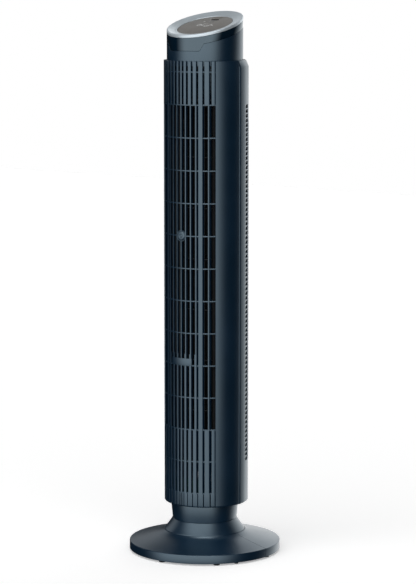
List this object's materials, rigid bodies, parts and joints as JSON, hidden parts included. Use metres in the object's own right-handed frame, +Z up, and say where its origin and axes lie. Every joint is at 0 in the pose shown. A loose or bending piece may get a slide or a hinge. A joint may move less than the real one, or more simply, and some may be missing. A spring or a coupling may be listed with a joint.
{
  "type": "tower fan",
  "caption": "Tall column fan on a round flared base, with a slatted front outlet, rear air intake, inner cross-flow wheel and a slanted round touch-control head; the column turns on its neck.",
  "frame": {"origin": "on the floor at the centre of the round base, on the axis that the tower turns about", "axes": "+Z up along the tower, -Y towards the front where the air comes out, +X to the right seen from the front"},
  "size_m": [0.28, 0.28, 0.9976],
  "materials": {
    "navy_plastic": "satin moulded, very dark blue-grey",
    "gloss_plastic": "polished, very dark blue-grey",
    "silver_trim": "fine satin, cool silver",
    "touch_glass": "smooth tinted touch surface",
    "dark_plastic": "matte moulded, near black",
    "rubber": "matte",
    "steel": "plain plated steel",
    "white_plastic": "natural acetal",
    "circuit_board": "green solder mask"
  },
  "bodies": {
    "base": {"base_front_half": "navy_plastic", "base_rear_half": "navy_plastic", "foot_1": "rubber", "foot_2": "rubber", "foot_3": "rubber", "foot_4": "rubber", "foot_5": "rubber", "foot_6": "rubber", "foot_7": "rubber", "small_foot_1": "rubber", "small_foot_2": "rubber", "cord_gland": "rubber", "neck_mount_plate": "steel", "base_screw_1": "steel", "base_screw_2": "steel", "base_screw_3": "steel", "base_screw_4": "steel", "collar": "navy_plastic", "neck": "navy_plastic", "ring_gear": "white_plastic", "bearing_ring": "white_plastic"},
    "tower": {"swivel_plate": "dark_plastic", "retaining_washer": "steel", "retaining_nut": "steel", "oscillation_motor": "steel", "front_cover": "navy_plastic", "rear_shell": "navy_plastic", "badge_plate": "navy_plastic", "grille_screw": "navy_plastic", "rear_screw_1": "steel", "rear_screw_2": "steel", "duct_floor": "dark_plastic", "duct_ceiling": "dark_plastic", "scroll_wall": "dark_plastic", "vortex_tongue": "dark_plastic", "fan_motor": "steel", "motor_damper": "rubber", "motor_mount": "steel", "upper_bearing": "steel", "bearing_holder": "rubber", "power_board": "circuit_board", "run_capacitor": "dark_plastic", "wiring_loom": "rubber", "top_plate": "dark_plastic", "head_shell": "navy_plastic", "control_bezel": "gloss_plastic", "ring_trim": "silver_trim", "touch_panel": "touch_glass", "receiver_window": "gloss_plastic", "display_board": "circuit_board"},
    "impeller": {"impeller": "dark_plastic", "impeller_hub": "rubber", "motor_shaft": "steel", "motor_rotor": "steel", "upper_axle": "steel"},
    "oscillation_pinion": {"oscillation_pinion": "white_plastic"}
  },
  "joints": [
    {"name": "oscillation", "type": "hinge", "parent": "base", "child": "tower", "pos_m": [0, 0, 0.0927], "axis": [0, 0, 1], "range_deg": [-45, 45]},
    {"name": "impeller_spin", "type": "hinge", "parent": "tower", "child": "impeller", "pos_m": [0, 0.012, 0.172], "axis": [0, 0, 1], "continuous": true},
    {"name": "pinion_spin", "type": "hinge", "parent": "tower", "child": "oscillation_pinion", "pos_m": [0, 0.033, 0.09], "axis": [0, 0, 1], "range_deg": [-120, 120]}
  ],
  "couplings": [
    {"joint": "pinion_spin", "follows": "oscillation", "ratio": 2.6667}
  ]
}
